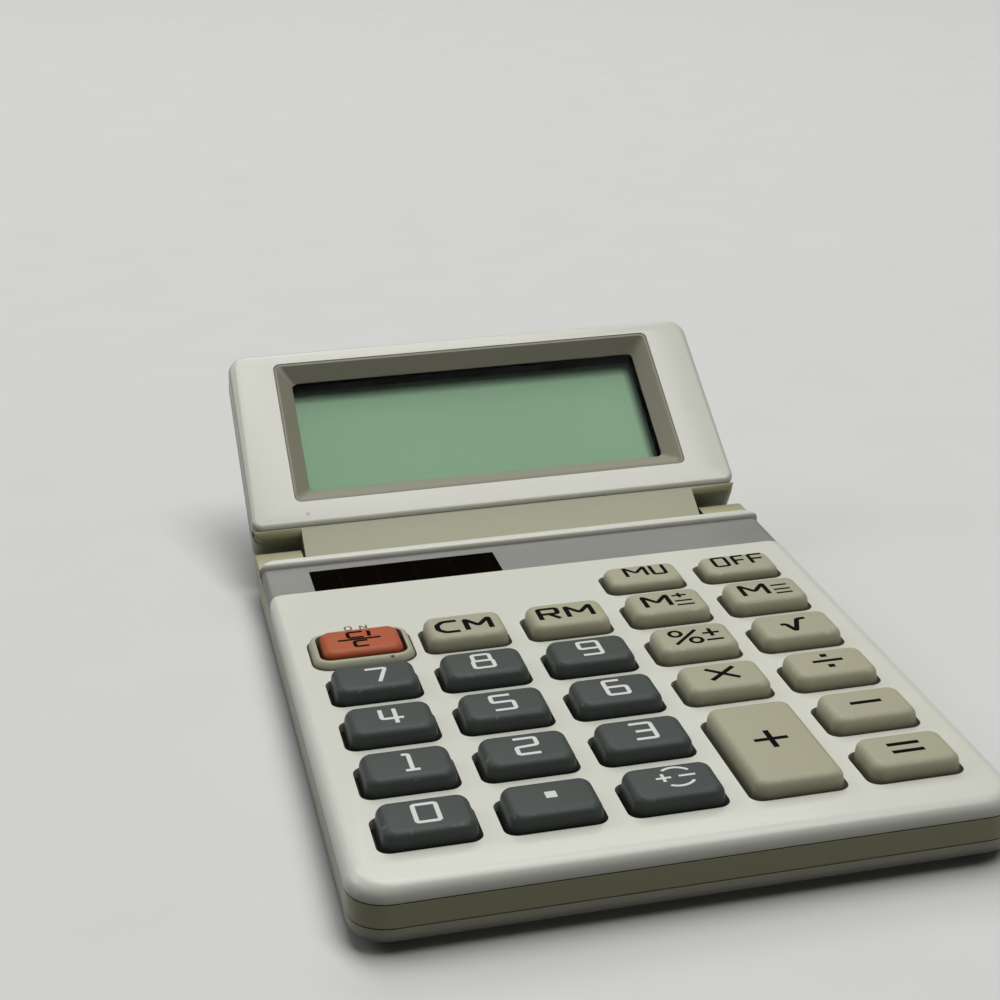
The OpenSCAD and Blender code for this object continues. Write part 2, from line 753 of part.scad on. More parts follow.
// Black spacer that keeps the panel away from the window
module lcd_gasket() color("#1d1e1c") {
  on_hinge()
    translate([0, view_vc, lcd_top])
      linear_extrude(gasket_h)
        difference() {
          square([view_w + 2 * gasket_w, view_d + 2 * gasket_w], center = true);
          square([view_w, view_d], center = true);
        }
}

module lcd_panel() color("#8fae95") {
  on_hinge()
    translate([0, view_vc, lcd_top - lcd_t])
      linear_extrude(lcd_t) square([view_w + 5, view_d + 5], center = true);
}

module lcd_connector() color("#333a44") {
  on_hinge()
    for (s = [-1, 1])
      translate([0, view_vc + s * (view_d / 2 + 0.8), lcd_top - lcd_t - zebra_t])
        linear_extrude(zebra_t) square([view_w - 4, 2], center = true);
}

module display_board() color("#3c6b45") {
  on_hinge()
    translate([0, view_vc, disp_board_w0])
      linear_extrude(disp_board_t) square([view_w + 5, view_d + 6], center = true);
}

module lcd_lead() color("#d8c24a") {
  on_hinge()
    translate([-barrel_x + lead_in, 0.7, 0]) rotate([-90, 0, 0])
      cylinder(r = 0.55, h = disp_v0 + 2.2, $fn = 24);
}

module display_screws() color("#8d9196") {
  on_hinge() at_display_bosses() translate([0, 0, back_w + 1])
    screw(1.6, 0.7, 0.7, -back_w + 0.5);
}

// One key: cap with sloped sides and a soft top, rim, hollow with a plunger
module key_cap(x, y, w, d, rise, tone) {
  h = top_z + rise - rim_z0;
  s = h - key_round;
  i = key_draft;
  q = key_round;
  color(tone) translate([x, y, rim_z0])
    difference() {
      union() {
        hull()
          for (sx = [-1, 1], sy = [-1, 1])
            translate([sx * (w / 2 - 1.6), sy * (d / 2 - 1.6), 0]) {
              cylinder(r = 1.6, h = 0.01, $fn = key_facets);
              translate([0, 0, s]) cylinder(r = 1.6 - i, h = 0.01, $fn = key_facets);
              translate([0, 0, s + 0.7 * q]) cylinder(r = 1.6 - i - 0.29 * q, h = 0.01, $fn = key_facets);
              translate([0, 0, h - 0.01]) cylinder(r = 1.6 - i - q, h = 0.01, $fn = key_facets);
            }
        linear_extrude(key_rim_t) round_rect(w + 2 * key_gap + 2 * key_rim, d + 2 * key_gap + 2 * key_rim, 1);
      }
      translate([0, 0, -1])
        difference() {
          linear_extrude(h - 0.4) round_rect(w - 3, d - 3, 0.6);
          cylinder(r = 1.5, h = h + 2, $fn = 24);
        }
    }
}

// Full size of a key in its opening
key_w = slot_w - 2 * key_gap;
key_d = slot_d - 2 * key_gap;

module digit(c, r) { key_cap(key_x(c), key_y(r), key_w, key_d, key_rise, "#4c5150"); }
module operator(c, r) { key_cap(key_x(c), key_y(r), key_w, key_d, key_rise, "#a8a48e"); }
module back_row(c) {
  key_cap(key_x(c), back_y0(), key_w, key_d - back_row_cut, key_rise - back_row_drop, "#a8a48e");
}

module key_0() { digit(0, 0); }
module key_point() { digit(1, 0); }
module key_sign() { digit(2, 0); }
module key_1() { digit(0, 1); }
module key_2() { digit(1, 1); }
module key_3() { digit(2, 1); }
module key_4() { digit(0, 2); }
module key_5() { digit(1, 2); }
module key_6() { digit(2, 2); }
module key_7() { digit(0, 3); }
module key_8() { digit(1, 3); }
module key_9() { digit(2, 3); }
module key_plus() { key_cap(key_x(3), key_y(0.5), key_w, key_d + row_pitch, key_rise, "#a8a48e"); }
module key_equals() { operator(4, 0); }
module key_minus() { operator(4, 1); }
module key_times() { operator(3, 2); }
module key_divide() { operator(4, 2); }
module key_percent() { operator(3, 3); }
module key_root() { operator(4, 3); }
module key_clear() { key_cap(key_x(0), key_y(4), key_w, key_d, clear_rise, "#c06a45"); }
module key_clear_memory() { operator(1, 4); }
module key_recall_memory() { operator(2, 4); }
module key_memory_plus() { operator(3, 4); }
module key_memory_equals() { operator(4, 4); }
module key_markup() { back_row(3); }
module key_off() { back_row(4); }

top_cover();
case_frame();
bottom_cover();
info_strip();
solar_cell();
solar_leads();
clear_key_guard();
key_mat();
main_board();
controller_chip();
button_cell();
cell_clip();
case_screws();
board_screws();
rubber_feet();
hinge_pin();
hinge_tube();
display_lead();
display_cover();
display_back();
window_bezel();
display_window();
lcd_gasket();
lcd_panel();
lcd_connector();
display_board();
lcd_lead();
display_screws();
key_0();
key_1();
key_2();
key_3();
key_4();
key_5();
key_6();
key_7();
key_8();
key_9();
key_point();
key_sign();
key_plus();
key_equals();
key_minus();
key_times();
key_divide();
key_root();
key_percent();
key_memory_plus();
key_memory_equals();
key_markup();
key_off();
key_clear();
key_clear_memory();
key_recall_memory();
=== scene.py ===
# %% [markdown]
# A desk calculator whose display tilts on a hinge.
# The solids come from the part's own model and stay where they are. This lesson gives them
# their looks: soft edges, moulded keys with inlaid marks, and the finish of each plastic.

# %% Load the solids
import math

import bmesh
import bpy
from mathutils import Matrix, Vector


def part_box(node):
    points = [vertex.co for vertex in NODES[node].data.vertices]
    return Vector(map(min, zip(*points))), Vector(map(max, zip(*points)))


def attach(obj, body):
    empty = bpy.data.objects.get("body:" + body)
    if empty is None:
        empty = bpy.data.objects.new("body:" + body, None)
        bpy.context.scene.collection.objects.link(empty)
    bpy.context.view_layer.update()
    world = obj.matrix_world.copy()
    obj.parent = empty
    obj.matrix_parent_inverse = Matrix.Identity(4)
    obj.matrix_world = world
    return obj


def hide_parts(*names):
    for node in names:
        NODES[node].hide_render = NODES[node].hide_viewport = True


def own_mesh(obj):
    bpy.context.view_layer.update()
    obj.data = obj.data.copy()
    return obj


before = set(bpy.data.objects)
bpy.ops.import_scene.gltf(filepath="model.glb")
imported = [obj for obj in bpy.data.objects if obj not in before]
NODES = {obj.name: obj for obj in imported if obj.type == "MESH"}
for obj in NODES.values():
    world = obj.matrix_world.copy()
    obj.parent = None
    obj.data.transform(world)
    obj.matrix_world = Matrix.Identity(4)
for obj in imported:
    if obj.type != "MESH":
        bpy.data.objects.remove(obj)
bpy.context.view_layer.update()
MM = 0.001

# %% [markdown]
# Operators work on whatever is selected, so every step starts from a clear selection.
# These few helpers select one object, open it for editing, and pick faces or edges by a test.

# %% Selection helpers
def pick_only(obj):
    if bpy.context.mode != "OBJECT":
        bpy.ops.object.mode_set(mode="OBJECT")
    bpy.ops.object.select_all(action="DESELECT")
    obj.select_set(True)
    bpy.context.view_layer.objects.active = obj


def edit(obj):
    pick_only(obj)
    bpy.ops.object.mode_set(mode="EDIT")
    bpy.ops.mesh.select_mode(type="FACE")


def done():
    bpy.ops.object.mode_set(mode="OBJECT")


def pick_faces(obj, test):
    bpy.ops.mesh.select_mode(type="FACE")
    bpy.ops.mesh.select_all(action="DESELECT")
    mesh = bmesh.from_edit_mesh(obj.data)
    for face in mesh.faces:
        face.select_set(test(face))
    bmesh.update_edit_mesh(obj.data)


def pick_edges(obj, test):
    bpy.ops.mesh.select_mode(type="EDGE")
    bpy.ops.mesh.select_all(action="DESELECT")
    mesh = bmesh.from_edit_mesh(obj.data)
    for edge in mesh.edges:
        edge.select_set(test(edge))
    bmesh.update_edit_mesh(obj.data)


def apply_all(obj):
    pick_only(obj)
    for modifier in list(obj.modifiers):
        bpy.ops.object.modifier_apply(modifier=modifier.name)


def smooth(obj, angle=35):
    pick_only(obj)
    bpy.ops.object.shade_smooth_by_angle(angle=math.radians(angle))


def settle(obj):
    # The place goes into the mesh, so the object sits at the origin
    pick_only(obj)
    bpy.ops.object.transform_apply(location=True, rotation=True, scale=True)


# %% [markdown]
# The camera stands in front, a little to the left and above, as in the photograph.
# Its place and turn were solved from the key grid and the display window, so they are given
# as a point and three directions instead of being set by eye.

# %% Camera
CAMERA_PLACE = Vector((-72.88, -275.2, 147.45)) * MM
CAMERA_RIGHT = Vector((0.9752, -0.2199, -0.0253))
CAMERA_DOWN = Vector((-0.1017, -0.3438, -0.9335))
CAMERA_FORWARD = Vector((0.1966, 0.9129, -0.3576))
camera_turn = Matrix((CAMERA_RIGHT, -CAMERA_DOWN, -CAMERA_FORWARD)).transposed()
camera_data = bpy.data.cameras.new("camera")
camera_data.sensor_width = 36
camera_data.lens = 67.45
camera_data.clip_start = 0.01
camera = bpy.data.objects.new("camera", camera_data)
camera.matrix_world = Matrix.Translation(CAMERA_PLACE) @ camera_turn.to_4x4()
bpy.context.scene.collection.objects.link(camera)
bpy.context.scene.camera = camera
print("camera at", [round(v, 3) for v in camera.location])

# %% [markdown]
# The calculator stands on pale paper. A broad soft light hangs above it, so tops are bright, fronts
# are in shade, and a soft dark line lies under the front edge, deepened by painted shadow on the paper.
# A weaker light behind lifts the slopes that face away, and a cool one at the left thins the shadow
# there. Small lights close by would give hard shadows and a dark edge to the paper, so these hang far
# off and are large. The paper itself sends no light back into the fronts, which keeps them as dark as
# in the photograph.

# %% Floor and light
FLOOR_SIZE = 4.8
FLOOR_DROP = 0.02 * MM
WARM = (1.0, 0.995, 0.975)
COOL = (0.98, 0.99, 1.0)
bpy.ops.object.select_all(action="DESELECT")
bpy.ops.mesh.primitive_plane_add(size=FLOOR_SIZE, location=(0, 0, -FLOOR_DROP))
floor = bpy.context.object
floor.name = "floor"
floor.visible_diffuse = False


def area_light(name, place, aim, size, watts, tint):
    data = bpy.data.lights.new(name, "AREA")
    data.shape = "RECTANGLE"
    data.size, data.size_y = size
    data.energy = watts
    data.color = tint
    light = bpy.data.objects.new(name, data)
    light.location = place
    light.rotation_euler = (Vector(aim) - Vector(place)).to_track_quat("-Z", "Y").to_euler()
    bpy.context.scene.collection.objects.link(light)


area_light("overhead", (0.45, 0.24, 3.0), (0, 0.05, 0), (3.8, 1.25), 71.5, WARM)
area_light("back", (0.1, 2.5, 2.3), (0, 0, 0), (2.4, 1.0), 16.8, WARM)
area_light("rim", (-1.9, 1.2, 1.5), (0, 0.02, 0), (1.4, 1.0), 8.5, COOL)
print("lights:", sorted(light.name for light in bpy.data.lights))

# %% [markdown]
# The room gives only a faint light from all sides. Where the camera looks straight at it, it is a pale
# backdrop, so that no view ends in a dark horizon. A brighter room could do the same, but it would also
# light the fronts. So a Light Path node tells the two cases apart.

# %% Room
FILL = (0.5, 0.51, 0.51, 1)
FILL_STRENGTH = 0.1
BACKDROP = (0.36, 0.36, 0.345, 1)
room = bpy.data.worlds.new("room")
bpy.context.scene.world = room
room.use_nodes = True
room_nodes, room_links = room.node_tree.nodes, room.node_tree.links
fill = room_nodes["Background"]
fill.inputs["Color"].default_value = FILL
fill.inputs["Strength"].default_value = FILL_STRENGTH
backdrop = room_nodes.new("ShaderNodeBackground")
backdrop.inputs["Color"].default_value = BACKDROP
seen = room_nodes.new("ShaderNodeLightPath")
either = room_nodes.new("ShaderNodeMixShader")
room_links.new(seen.outputs["Is Camera Ray"], either.inputs["Fac"])
room_links.new(fill.outputs[0], either.inputs[1])
room_links.new(backdrop.outputs[0], either.inputs[2])
room_links.new(either.outputs[0], room_nodes["World Output"].inputs["Surface"])
bpy.context.scene.view_settings.view_transform = "Standard"
print("room fill strength:", FILL_STRENGTH)

# %% [markdown]
# A finish is built from small nodes joined by links. The same few nodes come back in every material,
# so each gets a helper that adds it, sets it and hands back its output. Written out every time, the
# recipes would be hard to read.

# %% Node helpers
def add(tree, kind, **settings):
    node = tree.nodes.new(kind)
    for key, value in settings.items():
        setattr(node, key, value)
    return node


def noise(tree, place, scale, detail):
    node = add(tree, "ShaderNodeTexNoise")
    node.inputs["Detail"].default_value = detail
    tree.links.new(place, node.inputs["Vector"])
    if isinstance(scale, bpy.types.NodeSocket):
        tree.links.new(scale, node.inputs["Scale"])
    else:
        node.inputs["Scale"].default_value = scale
    return node.outputs["Fac"]


def step(tree, value, start, stop):
    node = add(tree, "ShaderNodeMapRange")
    node.inputs["From Min"].default_value = start
    node.inputs["From Max"].default_value = stop
    tree.links.new(value, node.inputs["Value"])
    return node.outputs["Result"]


def times(tree, first, second):
    node = add(tree, "ShaderNodeMath", operation="MULTIPLY")
    tree.links.new(first, node.inputs[0])
    tree.links.new(second, node.inputs[1])
    return node.outputs[0]


def mix_colour(tree, factor, first, second):
    node = add(tree, "ShaderNodeMix", data_type="RGBA")
    for socket, value in ((node.inputs[0], factor), (node.inputs[6], first), (node.inputs[7], second)):
        if isinstance(value, bpy.types.NodeSocket):
            tree.links.new(value, socket)
        else:
            socket.default_value = value
    return node.outputs[2]


def span(tree, value, low, high):
    node = add(tree, "ShaderNodeMapRange")
    tree.links.new(value, node.inputs["Value"])
    node.inputs["To Min"].default_value = low
    node.inputs["To Max"].default_value = high
    return node.outputs["Result"]


def scaled(tree, value, factor):
    node = add(tree, "ShaderNodeMath", operation="MULTIPLY")
    tree.links.new(value, node.inputs[0])
    node.inputs[1].default_value = factor
    return node.outputs[0]


def bump(tree, height, strength, distance):
    node = add(tree, "ShaderNodeBump")
    node.inputs["Strength"].default_value = strength
    node.inputs["Distance"].default_value = distance
    tree.links.new(height, node.inputs["Height"])
    return node.outputs["Normal"]


def material(name):
    made = bpy.data.materials.new(name)
    made.use_nodes = True
    return made, made.node_tree, made.node_tree.nodes["Principled BSDF"]


# %% [markdown]
# Moulded plastic is never one flat colour. A shared group gives each finish a fine sparkle of
# texture, faint clouds of age, a few dark specks, a mask of the corners where shade falls, and rubbed
# edges. Each material could hold its own copy of these nodes, but one group is built and mended once.
# It only hands out values; each material decides what to do with them.

# %% Shared surface group
def new_group(name, inputs, outputs):
    group = bpy.data.node_groups.new(name, "ShaderNodeTree")
    for label, value in inputs:
        socket = group.interface.new_socket(label, in_out="INPUT", socket_type="NodeSocketFloat")
        socket.default_value = value
    for label in outputs:
        group.interface.new_socket(label, in_out="OUTPUT", socket_type="NodeSocketFloat")
    return group


def moulding_group():
    group = new_group("moulded surface",
                      [("Grain size", 2600.0), ("Cloud size", 40.0), ("Speck size", 300.0),
                       ("Corner reach", 0.0012)],
                      ["Grain", "Clouds", "Specks", "Corner shade", "Edges"])
    links = group.links
    source = add(group, "NodeGroupInput")
    sink = add(group, "NodeGroupOutput")
    place = add(group, "ShaderNodeTexCoord").outputs["Object"]
    links.new(noise(group, place, source.outputs["Grain size"], 3), sink.inputs["Grain"])
    links.new(noise(group, place, source.outputs["Cloud size"], 5), sink.inputs["Clouds"])
    # Specks: the middles of scattered cells, kept only where a broad noise is high
    cells = add(group, "ShaderNodeTexVoronoi")
    links.new(place, cells.inputs["Vector"])
    links.new(source.outputs["Speck size"], cells.inputs["Scale"])
    middle = step(group, cells.outputs["Distance"], 0.05, 0.02)
    rare = step(group, noise(group, place, 90, 2), 0.6, 0.64)
    links.new(times(group, middle, rare), sink.inputs["Specks"])
    # Corner shade: where little of the sky shows, for painting shade into corners
    corners = add(group, "ShaderNodeAmbientOcclusion")
    corners.samples = 6
    links.new(source.outputs["Corner reach"], corners.inputs["Distance"])
    links.new(step(group, corners.outputs["AO"], 0.75, 0.15), sink.inputs["Corner shade"])
    # Edges: where the surface has begun to turn down from level, broken up by noise
    normal = add(group, "ShaderNodeVectorTransform", vector_type="NORMAL", convert_from="WORLD",
                 convert_to="OBJECT")
    links.new(add(group, "ShaderNodeNewGeometry").outputs["Normal"], normal.inputs[0])
    level = add(group, "ShaderNodeSeparateXYZ")
    links.new(normal.outputs[0], level.inputs[0])
    turned = step(group, level.outputs["Z"], 0.97, 0.85)
    facing = step(group, level.outputs["Z"], 0.3, 0.6)
    rubbed = step(group, noise(group, place, 520, 5), 0.6, 0.7)
    links.new(times(group, times(group, turned, facing), rubbed), sink.inputs["Edges"])
    return group


MOULDED = moulding_group()
print("shared group outputs:", [s.name for s in MOULDED.interface.items_tree if s.in_out == "OUTPUT"])

# %% [markdown]
# Every moulded piece has its own tone but the same build: clouds in the tone, painted shade in
# corners, specks, rubbed edges and a fine relief. One function makes such a finish from the shared
# group, so that a new plastic is one line of values. A painted picture could show the same, but only
# as sharp as its pixels.

# %% Moulded plastic
GRAIN_HEIGHT = 0.05 * MM
FOOT_SHADE_SHARE = 0.85


def spot(tree, point, radius):
    # A soft round mask about one point of the object, with a ragged rim
    place = add(tree, "ShaderNodeTexCoord").outputs["Object"]
    away = add(tree, "ShaderNodeVectorMath", operation="DISTANCE")
    tree.links.new(place, away.inputs[0])
    away.inputs[1].default_value = [c * MM for c in point]
    ragged = add(tree, "ShaderNodeMath", operation="MULTIPLY_ADD")
    tree.links.new(noise(tree, place, 2200, 3), ragged.inputs[0])
    ragged.inputs[1].default_value = radius * MM
    tree.links.new(away.outputs["Value"], ragged.inputs[2])
    return step(tree, ragged.outputs[0], 1.6 * radius * MM, 1.1 * radius * MM)


def moulded(name, tone, rough, grain=2600, relief=0.25, corner_shade=0.35, specks=0.5, rub=0.0, vary=0.03,
            shine=0.5, reach=1.2, coat=0.0, spots=(), foot_shade=None):
    made, tree, shader = material(name)
    group = add(tree, "ShaderNodeGroup", node_tree=MOULDED)
    group.inputs["Grain size"].default_value = grain
    group.inputs["Corner reach"].default_value = reach * MM
    light = tuple(c * (1 + vary) for c in tone)
    dark = (tone[0] * (1 - vary), tone[1] * (1 - 1.2 * vary), tone[2] * (1 - 1.8 * vary))
    colour = mix_colour(tree, group.outputs["Clouds"], (*dark, 1), (*light, 1))
    # One dark tone of the plastic, for the dust specks and for the painted shade in corners and at the foot
    soil_and_shade = tuple(c * 0.3 for c in dark)
    # Painted shade: where little of the sky shows, in corners, recesses and close round other pieces, the
    # tone darkens
    colour = mix_colour(tree, scaled(tree, group.outputs["Corner shade"], corner_shade), colour, (*soil_and_shade, 1))
    colour = mix_colour(tree, scaled(tree, group.outputs["Specks"], specks), colour, (*soil_and_shade, 1))
    if rub:
        worn = tuple(min(0.9, c * 1.5 + 0.12) for c in tone)
        colour = mix_colour(tree, scaled(tree, group.outputs["Edges"], rub), colour, (*worn, 1))
    if foot_shade:
        # Painted shade: darker towards the foot of a piece, between two heights in millimetres
        height = add(tree, "ShaderNodeSeparateXYZ")
        tree.links.new(add(tree, "ShaderNodeTexCoord").outputs["Object"], height.inputs[0])
        foot = step(tree, height.outputs["Z"], foot_shade[1] * MM, foot_shade[0] * MM)
        colour = mix_colour(tree, scaled(tree, foot, FOOT_SHADE_SHARE), colour, (*soil_and_shade, 1))
    for point, radius, stain in spots:
        colour = mix_colour(tree, spot(tree, point, radius), colour, (*stain, 1))
    tree.links.new(colour, shader.inputs["Base Color"])
    polish = span(tree, group.outputs["Grain"], rough - 0.06, rough + 0.06)
    tree.links.new(polish, shader.inputs["Roughness"])
    tree.links.new(bump(tree, group.outputs["Grain"], relief, GRAIN_HEIGHT), shader.inputs["Normal"])
    shader.inputs["IOR"].default_value = 1.5
    shader.inputs["Specular IOR Level"].default_value = shine
    shader.inputs["Coat Weight"].default_value = coat
    shader.inputs["Coat Roughness"].default_value = 0.14
    return made


# %% [markdown]
# The tones were matched to the photograph: ivory covers, beige frame and keys, dark digit keys and one
# orange key. The frame and the bottom cover are painted lighter than their plastic, as painted light on
# their shaded fronts. Two marks of use are set as spots: a red speck on the display cover and a dark one
# on the guard. Keys are darker towards their feet, as painted shade.

# %% Plastics, rubber and inks
IVORY = moulded("ivory plastic", (0.775, 0.783, 0.704), 0.38, coat=0.3,
                spots=[((-37.89, 65.16, 15.38), 0.45, (0.62, 0.42, 0.40))])
# Painted shade: a wide corner shade darkens the hinge notches of the display back.
BEIGE = moulded("beige plastic", (0.40, 0.395, 0.252), 0.36, corner_shade=0.9, reach=8)
# Painted light: the frame is the display back's beige, painted lighter for its front, which lies in shade.
LIT_FRAME_BEIGE = moulded("lit frame plastic", (0.435, 0.425, 0.258), 0.36, corner_shade=0.9, reach=5)
# Painted light: the bottom cover is a greyer beige of its own, also painted lighter for its shaded front.
LIT_BASE_BEIGE = moulded("lit bottom plastic", (0.56, 0.552, 0.44), 0.4)
TAUPE = moulded("taupe plastic", (0.315, 0.308, 0.238), 0.45, shine=0.3)
# Painted shade at the keys' feet, between these heights in millimetres, and in the corners round them
KEY_FOOT_SHADE = (10.6, 12.5)
KEY_DARK = moulded("dark key", (0.073, 0.087, 0.082), 0.42, grain=3200, corner_shade=0.95, rub=0.5, shine=0.2,
                   reach=4, foot_shade=KEY_FOOT_SHADE)
GUARD = moulded("beige guard", (0.47, 0.458, 0.343), 0.42, corner_shade=0.6, reach=2, shine=0.25,
                spots=[((-31.6, 4.75, 12.1), 0.42, (0.03, 0.026, 0.02))])
KEY_BEIGE = moulded("beige key", (0.46, 0.45, 0.322), 0.42, grain=3200, corner_shade=0.85, rub=0.3, shine=0.25,
                    reach=4, foot_shade=KEY_FOOT_SHADE)
KEY_ORANGE = moulded("orange key", (0.50, 0.118, 0.046), 0.42, grain=3200, corner_shade=0.85, rub=0.2, shine=0.2,
                     reach=4, foot_shade=KEY_FOOT_SHADE)
INK_WHITE = moulded("white ink", (0.78, 0.79, 0.78), 0.5, corner_shade=0.1)
INK_BLACK = moulded("black ink", (0.006, 0.006, 0.006), 0.6, corner_shade=0.0, shine=0.02)
INK_BROWN = moulded("brown ink", (0.12, 0.09, 0.055), 0.5, corner_shade=0.0)
# Painted shade: the tone of the thin gap in shade round the guard
GAP_SHADE = moulded("joint gap shade", (0.055, 0.052, 0.042), 0.7, corner_shade=0.0, shine=0.1)
RUBBER = moulded("foot rubber", (0.025, 0.025, 0.025), 0.75, relief=0.5)
print("finishes so far:", len(bpy.data.materials))

# %% [markdown]
# The strip is lacquered sheet, and the small hardware is plated steel. Both have a grain that runs one
# way. An anisotropic shader could stretch the highlights, but not show streaks of tone, so the grain is
# noise that a Mapping node stretches along one direction.

# %% Brushed metals
BRUSH_SIZE = 900
BRUSH_HEIGHT = 0.03 * MM
EVEN = (1, 1, 1)


def stretched_noise(tree, scale, along):
    place = add(tree, "ShaderNodeTexCoord")
    mapping = add(tree, "ShaderNodeMapping")
    mapping.inputs["Scale"].default_value = along
    tree.links.new(place.outputs["Object"], mapping.inputs["Vector"])
    return noise(tree, mapping.outputs["Vector"], scale, 4)


def brushed(name, light, dark, rough, along, metallic):
    made, tree, shader = material(name)
    grain = stretched_noise(tree, BRUSH_SIZE, along)
    tree.links.new(mix_colour(tree, grain, (*dark, 1), (*light, 1)), shader.inputs["Base Color"])
    tree.links.new(span(tree, grain, rough - 0.08, rough + 0.08), shader.inputs["Roughness"])
    tree.links.new(bump(tree, grain, 0.15, BRUSH_HEIGHT), shader.inputs["Normal"])
    shader.inputs["Metallic"].default_value = metallic
    return made


STRIP = brushed("strip sheet", (0.30, 0.304, 0.28), (0.255, 0.259, 0.237), 0.45, (0.05, 1, 1), 0.25)
STEEL = brushed("plated steel", (0.55, 0.56, 0.57), (0.40, 0.41, 0.42), 0.32, (1, 1, 0.1), 1.0)
print("metals:", STRIP.name, "and", STEEL.name)

# %% [markdown]
# The solar cell is almost black and split by hairlines. The lines could be cut into the mesh, but they
# have no depth, so a ramp that goes to and fro along the cell draws them.

# %% Solar cell finish
CELL_HALF = 3.5 * MM
HAIRLINE = 0.16 * MM
HAIRLINE_CORE = 0.08 * MM


def solar_finish():
    made, tree, shader = material("solar cell")
    place = add(tree, "ShaderNodeTexCoord")
    split = add(tree, "ShaderNodeSeparateXYZ")
    tree.links.new(place.outputs["Object"], split.inputs["Vector"])
    repeat = add(tree, "ShaderNodeMath", operation="PINGPONG")
    tree.links.new(split.outputs["X"], repeat.inputs[0])
    repeat.inputs[1].default_value = CELL_HALF
    line = step(tree, repeat.outputs[0], HAIRLINE, HAIRLINE_CORE)
    cloud = stretched_noise(tree, 120, EVEN)
    body = mix_colour(tree, cloud, (0.0022, 0.0019, 0.0016, 1), (0.0058, 0.0036, 0.0026, 1))
    body = mix_colour(tree, line, body, (0.008, 0.0055, 0.004, 1))
    tree.links.new(body, shader.inputs["Base Color"])
    tree.links.new(span(tree, cloud, 0.25, 0.35), shader.inputs["Roughness"])
    shader.inputs["Specular IOR Level"].default_value = 0.0
    return made


SOLAR = solar_finish()
print("solar cell: a hairline every", round(2 * CELL_HALF / MM, 1), "mm")

# %% [markdown]
# The blank display is a green panel that lies deep under the bezel. The bezel's shadow leaves its far and
# right edges nearly black, with a soft border. Light alone leaves them too pale in soft light, so this
# shadow is painted into the panel's colour, by place on the panel.

# %% Display panel finish
PANEL_SHADE = (0.012, 0.03, 0.018, 1)


def panel_finish():
    made, tree, shader = material("display panel")
    cloud = stretched_noise(tree, 25, EVEN)
    fine = stretched_noise(tree, 5000, EVEN)
    body = mix_colour(tree, cloud, (0.286, 0.478, 0.307, 1), (0.323, 0.533, 0.349, 1))
    body = mix_colour(tree, scaled(tree, fine, 0.03), body, (0.40, 0.57, 0.43, 1))
    low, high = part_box("lcd_panel")
    place = add(tree, "ShaderNodeTexCoord")
    split = add(tree, "ShaderNodeSeparateXYZ")
    tree.links.new(place.outputs["Object"], split.inputs["Vector"])
    # Painted shadow of the bezel along the panel's far and right edges
    far = step(tree, split.outputs["Y"], high.y - 5.7 * MM, high.y - 3.5 * MM)
    right = step(tree, split.outputs["X"], high.x - 4.8 * MM, high.x - 3.0 * MM)
    body = mix_colour(tree, scaled(tree, far, 0.96), body, PANEL_SHADE)
    body = mix_colour(tree, scaled(tree, right, 0.9), body, PANEL_SHADE)
    tree.links.new(body, shader.inputs["Base Color"])
    tree.links.new(span(tree, fine, 0.38, 0.45), shader.inputs["Roughness"])
    shader.inputs["Specular IOR Level"].default_value = 0.1
    return made


PANEL = panel_finish()
print("panel finish:", PANEL.name)

# %% [markdown]
# The window is clear plastic. Glass in a path tracer blocks the lights behind it, and the panel would be
# dark. So the window is plainly transparent to shadow and diffuse rays and glass to all others. It
# mirrors only a little, so that the light above doesn't veil the panel.

# %% Window finish
def window_finish():
    made, tree, shader = material("clear window")
    shader.inputs["Base Color"].default_value = (0.95, 0.98, 0.95, 1)
    shader.inputs["Transmission Weight"].default_value = 1.0
    shader.inputs["IOR"].default_value = 1.06
    smear = stretched_noise(tree, 60, EVEN)
    tree.links.new(span(tree, smear, 0.0, 0.012), shader.inputs["Roughness"])
    path = add(tree, "ShaderNodeLightPath")
    clear = add(tree, "ShaderNodeBsdfTransparent")
    blend = add(tree, "ShaderNodeMixShader")
    either = add(tree, "ShaderNodeMath", operation="MAXIMUM")
    tree.links.new(path.outputs["Is Shadow Ray"], either.inputs[0])
    tree.links.new(path.outputs["Is Diffuse Ray"], either.inputs[1])
    tree.links.new(either.outputs[0], blend.inputs["Fac"])
    tree.links.new(shader.outputs["BSDF"], blend.inputs[1])
    tree.links.new(clear.outputs["BSDF"], blend.inputs[2])
    output = next(n for n in tree.nodes if n.type == "OUTPUT_MATERIAL")
    tree.links.new(blend.outputs["Shader"], output.inputs["Surface"])
    return made


WINDOW = window_finish()
print("window finish:", WINDOW.name)

# %% [markdown]
# The pieces inside the case and the paper on the table need no recipe of their own. They take the
# moulded finish at other values. On the paper, the corner shade paints a soft shadow round the calculator.

# %% Inner pieces and paper
BOARD = moulded("green board", (0.045, 0.135, 0.055), 0.4)
CHIP = moulded("chip resin", (0.012, 0.012, 0.013), 0.5)
MAT = moulded("key mat", (0.155, 0.165, 0.175), 0.6)
GASKET = moulded("black spacer", (0.004, 0.0045, 0.004), 0.8, relief=0.5, shine=0.0)
SLEEVE = moulded("wire sleeve", (0.52, 0.4, 0.09), 0.5)
# Painted shadow: the corner shade darkens the paper close round the calculator.
PAPER = moulded("floor paper", (0.775, 0.783, 0.778), 0.75, grain=900, relief=0.1, corner_shade=0.8,
                specks=0.0, reach=5)
floor.data.materials.append(PAPER)
print("finishes in all:", len(bpy.data.materials))

# %% [markdown]
# Every solid gets a finish, also those inside the case that only show when it is opened in a viewer.
# A table of names is easier to check than a line for each. The keys aren't in it, because they get
# their own caps later.

